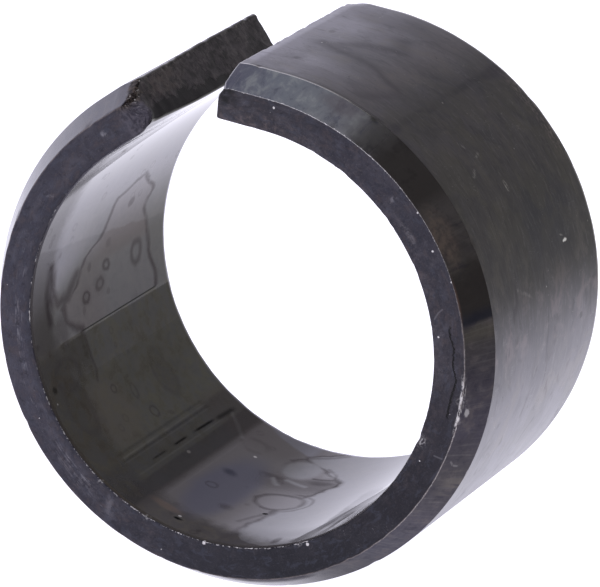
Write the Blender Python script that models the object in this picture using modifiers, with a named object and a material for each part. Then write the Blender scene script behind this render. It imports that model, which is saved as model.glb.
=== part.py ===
"""Split clamping bush, rolled from spring steel strip.

The bush is one piece. Strip is sheared square to length, one long edge is planed to
a chamfer, and the strip is rolled into a sleeve that stays open along one side. When
the sleeve is pressed into its housing the slot closes most of the way, and the steel
springs back against the wall of the housing. The rolls can't grip the last few
millimetres of strip, so both tips stay straight and stand a little proud of the round.

Units are metres. The bore runs along Y, with the chamfered end toward -Y. The sleeve
lies on its round side on the plane z = 0, with the slot at the top. Its round is made
of flats, and it lies on the middle one.
"""

import math

import bmesh
import bpy

# Sizes of the sleeve as it lies free, before it is squeezed into a housing.
OUTER_DIAMETER = 0.052
WALL = 0.005
LENGTH = 0.032
SLOT_GAP = 0.009        # from tip to tip, at the middle of the wall
STRAIGHT_TIP = 0.0047   # strip that the rolls leave flat, at each tip
CHAMFER_RUN = 0.0036    # along the axis
CHAMFER_DEPTH = 0.0017  # into the wall
BORE_LEAD = 0.0004      # both legs of the lead-in at the mouth of the bore
EDGE_BREAK = 0.00025    # taken off every other edge by tumbling

# How finely the round is divided.
FACET_ANGLE = math.radians(4)
EDGE_SEGMENTS = 2
SHARP_ANGLE = math.radians(15)
QUARTER_TURN = math.radians(90)
HALF = 0.5

# The middle of the wall keeps its length when the strip is rolled.
MIDDLE_RADIUS = (OUTER_DIAMETER - WALL) / 2
TIP_SWING = math.atan2(STRAIGHT_TIP, MIDDLE_RADIUS)
TIP_REACH = math.hypot(STRAIGHT_TIP, MIDDLE_RADIUS)
SLOT_HALF_ANGLE = math.asin(SLOT_GAP / 2 / TIP_REACH)
ROLLED_HALF_ANGLE = math.pi - SLOT_HALF_ANGLE - TIP_SWING
ROLLED_HALF_LENGTH = MIDDLE_RADIUS * ROLLED_HALF_ANGLE
BLANK_HALF_LENGTH = ROLLED_HALF_LENGTH + STRAIGHT_TIP

# A flat of the round is a little nearer to the axis in its middle than at its edges.
AXIS_HEIGHT = OUTER_DIAMETER / 2 * math.cos(FACET_ANGLE / 2)

STEEL_COLOUR = (0.045, 0.045, 0.055, 1.0)
STEEL_ROUGHNESS = 0.32


def clear_scene():
    for old in list(bpy.data.objects):
        bpy.data.objects.remove(old, do_unlink=True)


def oiled_steel():
    """Heat-darkened spring steel with a film of oil."""
    material = bpy.data.materials.new("oiled_spring_steel")
    material.use_nodes = True
    shader = material.node_tree.nodes["Principled BSDF"]
    shader.inputs["Base Color"].default_value = STEEL_COLOUR
    shader.inputs["Roughness"].default_value = STEEL_ROUGHNESS
    shader.inputs["Metallic"].default_value = 1.0
    return material


def strip_section():
    """Corners of the strip's section as (x, y): x through the wall, y along the axis.

    The outside of the sleeve is at -x and the bore at +x.
    """
    outside = -WALL / 2
    bore = WALL / 2
    front = -LENGTH / 2
    back = LENGTH / 2
    return [
        (outside, back),
        (outside, front + CHAMFER_RUN),
        (outside + CHAMFER_DEPTH, front),
        (bore - BORE_LEAD, front),
        (bore, front + BORE_LEAD),
        (bore, back),
    ]


def roll_stations():
    """Heights along the blank where it is divided, half a flat to each side of its middle first."""
    count = math.floor(ROLLED_HALF_ANGLE / FACET_ANGLE + HALF)
    pitch = MIDDLE_RADIUS * FACET_ANGLE
    stations = [pitch * (index + HALF) for index in range(-count, count)]
    return [-ROLLED_HALF_LENGTH] + stations + [ROLLED_HALF_LENGTH]


def flat_blank():
    """The chamfered strip before rolling: its section drawn out along Z."""
    blank = bmesh.new()
    corners = [blank.verts.new((x, y, -BLANK_HALF_LENGTH)) for x, y in strip_section()]
    drawn = bmesh.ops.extrude_face_region(blank, geom=[blank.faces.new(corners)])
    far_corners = [part for part in drawn["geom"] if isinstance(part, bmesh.types.BMVert)]
    bmesh.ops.translate(blank, verts=far_corners, vec=(0.0, 0.0, 2 * BLANK_HALF_LENGTH))
    for height in roll_stations():
        whole = blank.verts[:] + blank.edges[:] + blank.faces[:]
        bmesh.ops.bisect_plane(blank, geom=whole, plane_co=(0.0, 0.0, height), plane_no=(0.0, 0.0, 1.0))
    bmesh.ops.recalc_face_normals(blank, faces=blank.faces)
    mesh = bpy.data.meshes.new("split_sleeve")
    blank.to_mesh(mesh)
    blank.free()
    return mesh


def break_edges(sleeve):
    bevel = sleeve.modifiers.new("broken_edges", "BEVEL")
    bevel.width = EDGE_BREAK
    bevel.segments = EDGE_SEGMENTS
    bevel.limit_method = "ANGLE"
    bevel.angle_limit = SHARP_ANGLE
    bevel.harden_normals = True


def roll_round(sleeve):
    """Bend the blank about Y, and leave the tips outside the limits straight."""
    straight_share = STRAIGHT_TIP / (2 * BLANK_HALF_LENGTH)
    bend = sleeve.modifiers.new("rolled_round", "SIMPLE_DEFORM")
    bend.deform_method = "BEND"
    bend.deform_axis = "Y"
    bend.angle = 2 * ROLLED_HALF_ANGLE
    bend.limits = (straight_share, 1 - straight_share)


def split_sleeve():
    mesh = flat_blank()
    mesh.shade_smooth()
    mesh.set_sharp_from_angle(angle=SHARP_ANGLE)
    mesh.materials.append(oiled_steel())
    sleeve = bpy.data.objects.new("split_sleeve", mesh)
    break_edges(sleeve)
    roll_round(sleeve)
    sleeve.rotation_euler = (0.0, -QUARTER_TURN, 0.0)
    sleeve.location = (0.0, 0.0, AXIS_HEIGHT - MIDDLE_RADIUS)
    return sleeve


def main():
    clear_scene()
    collection = bpy.data.collections.new("split_clamping_bush")
    bpy.context.scene.collection.children.link(collection)
    collection.objects.link(split_sleeve())


main()
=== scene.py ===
"""A split clamping bush: blackened spring steel strip rolled into a sleeve, under a film of oil.

The sleeve is drawn as flat strip, worn and struck as a used one is, and then rolled up.
Strip is measured in millimetres: run goes along it from the middle of its length, depth
goes in from the chamfered end, and level goes up from the bore to the outside.
"""

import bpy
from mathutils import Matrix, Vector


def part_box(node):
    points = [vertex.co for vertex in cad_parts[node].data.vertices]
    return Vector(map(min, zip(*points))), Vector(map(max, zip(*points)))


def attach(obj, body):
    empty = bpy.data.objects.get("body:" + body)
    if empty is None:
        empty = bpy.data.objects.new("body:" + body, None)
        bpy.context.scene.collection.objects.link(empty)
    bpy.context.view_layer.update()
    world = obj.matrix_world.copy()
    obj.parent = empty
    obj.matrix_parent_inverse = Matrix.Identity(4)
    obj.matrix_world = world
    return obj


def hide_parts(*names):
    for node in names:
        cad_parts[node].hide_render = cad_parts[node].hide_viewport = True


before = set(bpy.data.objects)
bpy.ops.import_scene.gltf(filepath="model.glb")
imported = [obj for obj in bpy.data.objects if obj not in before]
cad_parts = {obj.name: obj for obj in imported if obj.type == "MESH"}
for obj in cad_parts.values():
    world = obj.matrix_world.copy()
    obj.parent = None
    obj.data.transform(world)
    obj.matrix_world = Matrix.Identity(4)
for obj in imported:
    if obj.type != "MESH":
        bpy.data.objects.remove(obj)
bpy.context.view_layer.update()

import math
import random
from types import SimpleNamespace

import bpy
import numpy as np
from mathutils import Matrix, Vector, noise

MM = 0.001

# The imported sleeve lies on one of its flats, so its axis is a little under its radius.
LOW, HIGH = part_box("split_sleeve")
FLAT_ANGLE = math.radians(4)
OUTER_RADIUS = (HIGH.x - LOW.x) / 2 / MM * math.cos(FLAT_ANGLE / 2)
AXIS_HEIGHT = OUTER_RADIUS
LENGTH = (HIGH.y - LOW.y) / MM
FRONT = LOW.y / MM

WALL = 5.0
SLOT_GAP = 9.0
STRAIGHT_TIP = 4.7
CHAMFER_RUN = 3.6
CHAMFER_DEPTH = 1.7
TOE = WALL - CHAMFER_DEPTH
BORE_LEAD = 0.4
LIP_LEVEL = 0.16

BORE_RADIUS = OUTER_RADIUS - WALL
MIDDLE_RADIUS = OUTER_RADIUS - WALL / 2
TIP_SWING = math.atan2(STRAIGHT_TIP, MIDDLE_RADIUS)
SLOT_HALF_ANGLE = math.asin(SLOT_GAP / 2 / math.hypot(STRAIGHT_TIP, MIDDLE_RADIUS))
ROLLED_HALF_ANGLE = math.pi - SLOT_HALF_ANGLE - TIP_SWING
BLANK_HALF = MIDDLE_RADIUS * ROLLED_HALF_ANGLE + STRAIGHT_TIP


# ---------------------------------------------------------------- the strip

# Corners of the section as (depth, level), how far each is rounded, and the cells that
# its rounding and the flank after it are divided into.
SECTION = [
    ("back rim", (LENGTH, WALL), 0.50, 4, 44),
    ("chamfer heel", (CHAMFER_RUN, WALL), 0.45, 4, 10),
    ("chamfer toe", (0.0, TOE), 0.14, 4, 12),
    ("mouth", (0.0, LIP_LEVEL), 0.12, 3, 2),
    ("lead-in", (BORE_LEAD, 0.0), 0.25, 4, 58),
    ("back of bore", (LENGTH, 0.0), 0.50, 4, 17),
]
CUT_ROUND = 0.26
CUT_CELLS = 4
STATION_PITCH = 0.30
FINE_PITCH = 0.14
FINE_REACH = 3.0


def turned_left(way):
    return np.array((-way[1], way[0]))


def section_corners():
    """For each corner of the section: its place, the way in from both flanks, and the way
    that it moves when the flanks close in by one millimetre."""
    places = [np.array(corner[1]) for corner in SECTION]
    found = []
    for index, place in enumerate(places):
        before = place - places[index - 1]
        after = places[(index + 1) % len(places)] - place
        into_before = turned_left(before / np.linalg.norm(before))
        into_after = turned_left(after / np.linalg.norm(after))
        shift = (into_before + into_after) / (1 + into_before @ into_after)
        found.append((place, into_before, into_after, shift))
    return found


def crowded(share, strength):
    """Moves evenly spaced shares toward both ends of a flank."""
    return share - strength * math.sin(2 * math.pi * share) / (2 * math.pi)


def section_loop(shrink, wear):
    """One ring of points round the section, from the middle of the back rim's rounding."""
    corners = section_corners()
    arcs = []
    for (place, from_way, to_way, shift), (_, _, radius, cells, _) in zip(corners, SECTION):
        rounding = max(radius * wear - shrink, 0.03)
        centre = place + shift * (shrink + rounding)
        turn = math.acos(float(np.clip(from_way @ to_way, -1, 1)))
        points = []
        for step in range(cells + 1):
            angle = turn * step / cells
            side = (to_way - from_way * math.cos(turn)) / math.sin(turn)
            points.append(centre - rounding * (from_way * math.cos(angle) + side * math.sin(angle)))
        arcs.append(points)
    loop = []
    for index, (arc, corner) in enumerate(zip(arcs, SECTION)):
        start, end, cells = arc[-1], arcs[(index + 1) % len(arcs)][0], corner[4]
        loop += arc
        for step in range(1, cells):
            share = crowded(step / cells, 0.6)
            loop.append(start * (1 - share) + end * share)
    half_back_rim = SECTION[0][3] // 2
    return np.array(loop[half_back_rim:] + loop[:half_back_rim])


def loop_marks():
    """Where along the ring the outside, chamfer, front, bore and back faces begin."""
    arc_cells = [corner[3] for corner in SECTION]
    flank_cells = [corner[4] for corner in SECTION]
    starts = [0]
    for index in range(len(SECTION)):
        starts.append(starts[-1] + arc_cells[index] + flank_cells[index])
    first = arc_cells[0] // 2
    middles = [starts[index] + arc_cells[index] // 2 - first for index in range(len(SECTION))]
    return {
        "outside": 0,
        "chamfer": middles[1],
        "front": middles[2],
        "bore": middles[4],
        "back": middles[5],
        "end": starts[-1],
    }


def cut_rounding():
    """From the cut face inward: how far in, and how much smaller the section is."""
    steps = []
    for step in range(CUT_CELLS):
        angle = math.pi / 2 * step / CUT_CELLS
        steps.append((CUT_ROUND * (1 - math.cos(angle)), CUT_ROUND * (1 - math.sin(angle))))
    return steps


def stations():
    """Places along the strip, closer together near the cuts, with how much smaller the section is."""
    reach = BLANK_HALF - CUT_ROUND
    fine = [-reach + FINE_PITCH * step for step in range(round(FINE_REACH / FINE_PITCH))]
    inner = -fine[-1] - FINE_PITCH
    count = round(2 * inner / STATION_PITCH)
    coarse = [-inner + 2 * inner * step / count for step in range(count + 1)]
    middle = [(run, 0.0) for run in fine + coarse + [-run for run in reversed(fine)]]
    left = [(-BLANK_HALF + back, shrink) for back, shrink in cut_rounding()]
    right = [(-run, shrink) for run, shrink in reversed(left)]
    return left + middle + right


def grain(places, size, shift):
    """Smooth noise from -1 to 1, with lumps of the given size in millimetres."""
    scaled = places / np.array(size) + shift
    return np.array([noise.noise(Vector(place)) for place in scaled])


def cap_points(loop, marks):
    """Fills the section at a cut with a grid between its outside, front, bore and back."""
    across = marks["front"]
    through = marks["bore"] - marks["front"]
    outside = loop[: across + 1]
    front = loop[marks["front"] : marks["bore"] + 1]
    bore = loop[marks["bore"] : marks["back"] + 1][::-1]
    back = np.vstack([loop[marks["back"] :], loop[:1]])[::-1]
    grid = np.zeros((across + 1, through + 1, 2))
    for column in range(across + 1):
        for row in range(through + 1):
            toward_front = column / across
            toward_bore = row / through
            sides = (1 - toward_bore) * outside[column] + toward_bore * bore[column]
            ends = (1 - toward_front) * back[row] + toward_front * front[row]
            corners = (
                (1 - toward_front) * ((1 - toward_bore) * outside[0] + toward_bore * bore[0])
                + toward_front * ((1 - toward_bore) * outside[-1] + toward_bore * bore[-1])
            )
            grid[column, row] = sides + ends - corners
    return grid


def cap_ring_index(column, row, across, through, marks):
    """The ring's point on the border of the cut's grid, or None inside it."""
    if row == 0:
        return column
    if column == across:
        return marks["front"] + row
    if row == through:
        return marks["back"] - column
    if column == 0:
        return (marks["end"] - row) % marks["end"]
    return None


def strip_lattice():
    """Points of the whole strip, its faces, and each face's finish."""
    marks = loop_marks()
    rings = stations()
    ring_size = marks["end"]
    loops = []
    for run, shrink in rings:
        slow, quick = Vector((run / 2.3, 3.1, 0.4)), Vector((run / 0.8, 9.7, 2.2))
        wear = 1.0 + 0.2 * noise.noise(slow) + 0.1 * noise.noise(quick)
        loop = section_loop(shrink, max(wear, 0.4))
        loops.append(np.column_stack([np.full(ring_size, run), loop]))
    places = np.vstack(loops)

    finish_of = []
    names = ["outside", "chamfer", "front", "bore", "back", "end"]
    for finish, (name, following) in enumerate(zip(names, names[1:])):
        finish_of += [finish] * (marks[following] - marks[name])
    faces, finishes = [], []
    for ring in range(len(rings) - 1):
        here, there = ring * ring_size, (ring + 1) * ring_size
        for point in range(ring_size):
            following = (point + 1) % ring_size
            faces.append((here + point, there + point, there + following, here + following))
            finishes.append(finish_of[point])

    across, through = marks["front"], marks["bore"] - marks["front"]
    cut_finish = len(names) - 1
    extra = []
    for ring, outward in ((0, -1), (len(rings) - 1, 1)):
        base = ring * ring_size
        grid = cap_points(places[base : base + ring_size, 1:], marks)
        number = {}
        for column in range(across + 1):
            for row in range(through + 1):
                border = cap_ring_index(column, row, across, through, marks)
                if border is None:
                    number[column, row] = len(places) + len(extra)
                    extra.append((rings[ring][0], *grid[column, row]))
                else:
                    number[column, row] = base + border
        for column in range(across):
            for row in range(through):
                corners = ((column, row), (column + 1, row), (column + 1, row + 1), (column, row + 1))
                face = tuple(number[corner] for corner in corners)
                faces.append(face if outward < 0 else face[::-1])
                finishes.append(cut_finish)
    return np.vstack([places, extra]), faces, finishes


# ---------------------------------------------------------------- wear and blows

def fade(distance, reach):
    """1 on the spot, falling smoothly to 0 at the reach."""
    near = np.clip(1 - np.abs(distance) / reach, 0, 1)
    return near * near * (3 - 2 * near)


def struck_left_tip(places, moved):
    """The front corner of the left cut is beaten to a slanting flat, and bulges into the slot."""
    from_cut = places[:, 0] + BLANK_HALF
    depth, level = places[:, 1], places[:, 2]
    width = 0.45 + 1.05 * np.clip((5.2 - level) / 1.6, 0, 1) * np.clip((level + 0.6) / 1.8, 0, 1)
    width += 0.12 * grain(places, (50, 50, 0.8), 4.2)
    cut_back = np.clip(width - from_cut - depth, 0, None) / 2
    moved[:, 0] += cut_back
    moved[:, 1] += cut_back
    beaten = np.clip(cut_back / 0.12, 0, 1)
    pocks = beaten * grain(places, (0.45, 0.45, 0.5), 8.8)
    moved[:, 0] += 0.07 * pocks
    moved[:, 1] += 0.07 * np.abs(pocks)
    bulge = fade(from_cut, 2.4) * fade(depth, 2.8) * np.exp(-(((level - 1.3) / 1.15) ** 2))
    moved[:, 0] -= 0.95 * bulge
    edge = np.clip(level - TOE + 0.3, 0, None)
    end = np.clip(0.85 + 0.25 * grain(places, (50, 0.9, 0.9), 6.4) - from_cut - 0.25 * depth, 0, None)
    nibbled = np.clip(end / 0.35, 0, 1) * np.clip(edge / 0.5, 0, 1) * fade(depth, 5.0)
    moved[:, 2] -= 0.30 * nibbled
    moved[:, 0] += 0.22 * nibbled
    beaten = np.maximum(beaten, np.clip(1.6 * nibbled, 0, 1))
    lump = fade(from_cut, 1.5) * fade(depth, 1.9) * np.clip((level - 2.7) / 0.6, 0, 1)
    moved[:, 1] -= 0.16 * lump * (0.7 + 0.6 * grain(places, (0.55, 0.55, 0.5), 3.3))
    moved[:, 0] -= 0.12 * lump * (0.5 + 0.8 * grain(places, (0.55, 0.5, 0.45), 5.1))
    beaten = np.maximum(beaten, np.clip(1.5 * lump, 0, 1))
    hammered = fade(from_cut, 2.4) * np.clip((level - 2.0) / 3.0, 0, 1)
    steps = 1 + 0.5 * grain(places * (0, 1, 0), (1, 1.6, 1), 14.1)
    moved[:, 2] -= 0.34 * hammered * steps * np.clip(1.05 - depth / 20, 0.12, 1)
    rolled_in = fade(from_cut, 1.4) * fade(level, 1.6) * fade(depth, 14.0)
    moved[:, 2] += 0.35 * rolled_in
    moved[:, 0] += 0.15 * rolled_in
    return beaten


def struck_right_tip(places, moved):
    """The right cut only lost the sharpness of its front and outer edges."""
    from_cut = BLANK_HALF - places[:, 0]
    depth, level = places[:, 1], places[:, 2]
    bulge = fade(from_cut, 1.6) * fade(depth, 2.0) * np.exp(-(((level - 2.0) / 1.4) ** 2))
    moved[:, 0] += 0.22 * bulge
    moved[:, 2] -= 0.13 * fade(from_cut, 1.3) * np.clip((level - 3.0) / 2.0, 0, 1)
    far_corner = fade(from_cut, 2.2) * fade(LENGTH - depth, 2.6)
    moved[:, 0] -= 0.15 * far_corner
    moved[:, 1] -= 0.25 * far_corner
    moved[:, 2] -= 0.30 * far_corner * np.clip(level / WALL, 0, 1)
    corner = fade(from_cut, 1.1) * fade(depth, 1.0) * fade(level - TOE, 1.0)
    moved[:, 0] -= 0.30 * corner
    moved[:, 1] += 0.18 * corner
    moved[:, 2] -= 0.15 * corner


def sheared_cuts(places, moved):
    """The shear left steps and tears across the wall on both cuts."""
    on_cut = fade(BLANK_HALF - np.abs(places[:, 0]), 0.35)
    side = np.sign(places[:, 0])
    inside = np.clip(places[:, 2] / 0.5, 0, 1) * np.clip((WALL - places[:, 2]) / 0.5, 0, 1)
    tears = grain(places * (0, 1, 1) + side[:, None] * (7, 0, 0), (1, 0.9, 5.0), 1.7)
    steps = grain(places * (0, 1, 1) + side[:, None] * (3, 0, 0), (1, 3.5, 3.0), 5.9)
    moved[:, 0] += side * on_cut * inside * (0.07 * tears + 0.11 * steps)
    edge = fade(BLANK_HALF - np.abs(places[:, 0]), 0.8) * fade(WALL - places[:, 2], 0.7)
    moved[:, 2] -= edge * 0.26 * np.clip(grain(places * (0, 1, 0), (1, 0.8, 1), 31.3), 0, 1)
    back = fade(BLANK_HALF - np.abs(places[:, 0]), 0.8) * fade(LENGTH - places[:, 1], 0.8)
    moved[:, 1] -= back * 0.30 * np.clip(grain(places * (0, 0, 1), (1, 1, 0.9), 17.9) + 0.2, 0, 1)


def rolled_waves(places, moved):
    """Rolling leaves the strip very slightly wavy, and the face a little uneven."""
    moved[:, 2] += 0.010 * grain(places, (8, 15, 60), 11.3)
    on_front = fade(places[:, 1], 0.5)
    moved[:, 1] += on_front * 0.035 * (grain(places, (1.7, 9, 1.1), 21.1) - 0.3)


def knock(places, moved, at, size, deep, way):
    """Presses one dent into the strip, and says how bare it left each point."""
    press = np.zeros(len(places))
    near = np.abs(places[:, 0] - at[0]) < size
    if near.any():
        press[near] = fade(np.linalg.norm(places[near] - at, axis=1), size)
        moved += press[:, None] * deep * np.array(way)
    return press


def dents(places, moved):
    """Nicks where the sleeve was knocked, which show bare steel, and many small ones along its edges."""
    bare = np.zeros(len(places))
    chipped = (
        ((22.6, 0.0, 0.25), 0.9, 0.28, (0, 0.5, 0.9)),
        ((-15.4, 0.0, 0.1), 0.5, 0.15, (0, 0.6, 0.8)),
        ((-21.8, 0.0, 0.2), 0.4, 0.10, (0, 0.6, 0.8)),
        ((2.9, 0.0, 0.1), 0.5, 0.12, (0, 0.6, 0.8)),
        ((37.4, 24.1, WALL), 0.50, 0.06, (0, 0, -1)),
        ((37.9, 23.3, WALL), 0.30, 0.04, (0, 0, -1)),
        ((30.2, 26.9, WALL), 0.45, 0.07, (0, 0, -1)),
        ((27.2, 0.9, TOE + 0.4), 0.50, 0.08, (0, 0.4, -0.9)),
        ((-64.9, 0.0, 1.9), 0.28, 0.05, (0, 1, 0)),
        ((30.2, 0.0, TOE), 0.5, 0.10, (0, 0.8, -0.5)),
        ((28.0, 0.0, TOE), 0.9, 0.16, (0, 0.8, -0.5)),
        ((26.0, 0.0, TOE), 0.7, 0.14, (0, 0.8, -0.5)),
    )
    for at, size, deep, way in chipped:
        bare = np.maximum(bare, knock(places, moved, at, size, deep, way))
    chance = random.Random(41)
    edges = (
        (0.0, TOE, (0, 0.8, -0.6), 40), (0.0, LIP_LEVEL, (0, 0.6, 0.8), 60),
        (CHAMFER_RUN, WALL, (0, 0.1, -1.0), 16), (LENGTH, WALL, (0, -0.7, -0.7), 9),
        (LENGTH, 0.0, (0, -0.7, 0.7), 9),
    )
    for depth, level, way, count in edges:
        for _ in range(count):
            run = chance.uniform(-BLANK_HALF, BLANK_HALF)
            size = chance.uniform(0.3, 0.7)
            knock(places, moved, (run, depth, level), size, size * chance.uniform(0.05, 0.15), way)
    return bare


def rolled(strip):
    """Bends strip places into the sleeve, in metres. Beyond the rolled stretch the tips stay straight."""
    run, depth, level = strip.T
    angle = np.clip(run / MIDDLE_RADIUS, -ROLLED_HALF_ANGLE, ROLLED_HALF_ANGLE)
    straight = run - angle * MIDDLE_RADIUS
    radius = BORE_RADIUS + level
    x = radius * np.sin(angle) + straight * np.cos(angle)
    z = AXIS_HEIGHT - radius * np.cos(angle) + straight * np.sin(angle)
    return np.column_stack([x, FRONT + depth, z]) * MM


def build_sleeve():
    """The worn and rolled mesh, which keeps each point's place on the flat strip for the finishes."""
    places, faces, finishes = strip_lattice()
    moved = places.copy()
    rolled_waves(places, moved)
    sheared_cuts(places, moved)
    beaten = struck_left_tip(places, moved)
    struck_right_tip(places, moved)
    bare = dents(places, moved)
    moved[:, 1] = np.clip(moved[:, 1], 0.0, LENGTH)
    moved[:, 2] = np.clip(moved[:, 2], 0.0, WALL)
    mesh = bpy.data.meshes.new("sleeve")
    mesh.from_pydata(rolled(moved).tolist(), [], faces)
    mesh.polygons.foreach_set("material_index", finishes)
    strip = mesh.attributes.new("strip", "FLOAT_VECTOR", "POINT")
    strip.data.foreach_set("vector", places.astype(np.float32).ravel())
    for name, marks in (("bare", bare), ("beaten", beaten)):
        mesh.attributes.new(name, "FLOAT", "POINT").data.foreach_set("value", marks.astype(np.float32))
    mesh.shade_smooth()
    mesh.update()
    return mesh


# ---------------------------------------------------------------- shader maths

class Field:
    """A value, colour or direction that varies over a surface, usable in Python expressions."""

    def __init__(self, finish, socket):
        self.finish = finish
        self.socket = socket

    def maths(self, operation, *values):
        return self.finish.node("ShaderNodeMath", {"operation": operation}, dict(enumerate(values)))

    def __add__(self, other):
        return self.maths("ADD", self, other)

    def __sub__(self, other):
        return self.maths("SUBTRACT", self, other)

    def __rsub__(self, other):
        return self.maths("SUBTRACT", other, self)

    def __mul__(self, other):
        return self.maths("MULTIPLY", self, other)

    def __truediv__(self, other):
        return self.maths("DIVIDE", self, other)

    def __pow__(self, other):
        return self.maths("POWER", self, other)

    def __abs__(self):
        return self.maths("ABSOLUTE", self)

    __radd__ = __add__
    __rmul__ = __mul__

    def smaller(self, other):
        return self.maths("MINIMUM", self, other)

    def mapped(self, shape, low, high):
        return self.finish.node("ShaderNodeMapRange", {"interpolation_type": shape},
                                {"Value": self, "From Min": low, "From Max": high})

    def share(self, low, high):
        """Even rise from 0 at low to 1 at high."""
        return self.mapped("LINEAR", low, high)

    def rise(self, low, high):
        """0 up to low, 1 from high, and smooth between. It falls where low is above high."""
        return self.mapped("SMOOTHSTEP", low, high)

    def band(self, middle, width):
        """1 at the middle, falling to 0 a width to either side."""
        return abs(self - middle).rise(width, 0.0)


def reach(x, y):
    """Length of two distances together."""
    return (x * x + y * y) ** 0.5


def edge_wear(gap, width, broken, amount):
    """Bare metal along an edge: the more of it, the less broken the line."""
    return gap.rise(width, width * 0.3) * (broken + 0.5 * amount).rise(0.74, 0.86)


def beaded(gap, beads, width):
    """A bright line along an edge, which swells and breaks into beads."""
    return (gap + 8 * width * (0.5 - beads)).rise(width, 0.3 * width)


def opaque(colour):
    return (*colour, 1.0)


def grey(value):
    return (value, value, value)


def lay_stops(ramp, stops):
    """Spreads colours evenly over a ramp."""
    while len(ramp.elements) < len(stops):
        ramp.elements.new(1.0)
    for index, (element, colour) in enumerate(zip(ramp.elements, stops)):
        element.position = index / (len(stops) - 1)
        element.color = opaque(colour)


class Finish:
    """The nodes of one material or of the room, where they lie and the colour laid so far."""

    def __init__(self, owner):
        owner.use_nodes = True
        self.owner = owner
        self.tree = owner.node_tree
        self.tree.nodes.clear()
        self.place = None
        self.colour = None

    def node(self, kind, settings=None, sockets=None, output=0):
        """Adds a node: its settings first, then the values or links of its sockets."""
        made = self.tree.nodes.new(kind)
        for name, value in (settings or {}).items():
            if name == "stops":
                lay_stops(made.color_ramp, value)
            else:
                setattr(made, name, value)
        for name, value in (sockets or {}).items():
            socket = made.inputs[name]
            if isinstance(value, Field):
                self.tree.links.new(value.socket, socket)
            else:
                socket.default_value = opaque(value) if socket.type == "RGBA" else value
        return Field(self, made.outputs[output]) if made.outputs else None

    def strip(self):
        """Keeps the place of each spot on the strip, and gives its run, depth and level in millimetres."""
        self.place = self.node("ShaderNodeAttribute", {"attribute_name": "strip"}, output="Vector")
        return self.parts(self.place)

    def mark(self, name):
        return self.node("ShaderNodeAttribute", {"attribute_name": name}, output="Fac")

    def parts(self, vector):
        split = self.node("ShaderNodeSeparateXYZ", sockets={0: vector}).socket.node
        return [Field(self, split.outputs[axis]) for axis in range(3)]

    def noise(self, size, detail=3.0, roughness=0.55, distortion=0.0, at=None):
        """Clouds from 0 to 1, with lumps of a size in millimetres, or of one size each way."""
        each_way = size if isinstance(size, tuple) else grey(size)
        scaled = self.node(
            "ShaderNodeVectorMath", {"operation": "DIVIDE"}, {0: at or self.place, 1: each_way})
        return self.node(
            "ShaderNodeTexNoise", {"normalize": True},
            {"Vector": scaled, "Scale": 1.0, "Detail": detail, "Roughness": roughness,
             "Distortion": distortion})

    def spots(self, size):
        """Distance to the nearest of many scattered points, in shares of a size in millimetres."""
        return self.node(
            "ShaderNodeTexVoronoi", {"feature": "F1"}, {"Vector": self.place, "Scale": 1 / size})

    def mix(self, share, first, second):
        """One colour toward another."""
        return self.node("ShaderNodeMix", {"data_type": "RGBA"}, {0: share, 6: first, 7: second}, output=2)

    def coat(self, share, over):
        """Lays a colour over what is there."""
        self.colour = self.mix(share, self.colour, over)

    def tones(self, value, low, high, stops):
        """Colours laid out evenly between two values."""
        return self.node("ShaderNodeValToRGB", {"stops": stops}, {0: value.share(low, high)})

    def profile(self, value, low, high, least, most, heights):
        """A smooth line through heights laid out evenly between two values."""
        line = self.tones(value, low, high, [grey((height - least) / (most - least)) for height in heights])
        line.socket.node.color_ramp.interpolation = "CARDINAL"
        return least + (most - least) * line

    def wander(self, size, millimetres):
        """A slow drift to either side, that bends what is drawn with it."""
        return 2 * millimetres * self.noise(size, 0.0) - millimetres

    def larger(self, first, *others):
        for other in others:
            first = self.node("ShaderNodeMath", {"operation": "MAXIMUM"}, {0: first, 1: other})
        return first

    def bump(self, height, millimetres):
        return self.node("ShaderNodeBump", {}, {"Height": height, "Distance": millimetres * MM})

    def surface(self, sockets):
        """Closes the tree with the colour laid so far, and gives back its material."""
        shader = self.node("ShaderNodeBsdfPrincipled", {}, {"Base Color": self.colour, **sockets})
        self.node("ShaderNodeOutputMaterial", {}, {"Surface": shader})
        return self.owner


class Drawing:
    """Marks drawn on the strip by two of its directions, which may waver."""

    def __init__(self, along, across):
        self.along = along
        self.across = across

    def oval(self, at, half):
        """Distance from the middle of an oval, 1 on its rim."""
        return reach((self.along - at[0]) / half[0], (self.across - at[1]) / half[1])

    def blot(self, at, half, rim=1.4, core=0.4):
        """A filled oval with a soft rim."""
        return self.oval(at, half).rise(rim, core)

    def ring(self, at, half, width=0.35):
        return self.oval(at, half).band(1.0, width)

    def trail(self, points, width):
        """A soft line drawn from point to point."""
        nearest = None
        for start, end in zip(points, points[1:]):
            along, across = end[0] - start[0], end[1] - start[1]
            squared = math.hypot(along, across) ** 2
            ahead = (self.along - start[0]) * (along / squared)
            ahead = (ahead + (self.across - start[1]) * (across / squared)).share(0.0, 1.0)
            gap = reach(self.along - start[0] - along * ahead, self.across - start[1] - across * ahead)
            nearest = gap if nearest is None else nearest.smaller(gap)
        return nearest.rise(width, 0.0)

    def stroke(self, start, end, width):
        """A soft straight mark that thins out toward both ends."""
        length = math.dist(start, end)
        along, across = (end[0] - start[0]) / length, (end[1] - start[1]) / length
        ahead = (self.along - start[0]) * along + (self.across - start[1]) * across
        beside = (self.across - start[1]) * along - (self.along - start[0]) * across
        kept = ahead.rise(0.0, length * 0.3) * ahead.rise(length, length * 0.7)
        return beside.band(0.0, width) * kept

    def scuffs(self, *marks):
        """Short lines, each by its strength, its points and its width."""
        return [strength * self.trail(points, width) for strength, points, width in marks]


def new_finish(name):
    return Finish(bpy.data.materials.new(name))


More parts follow.
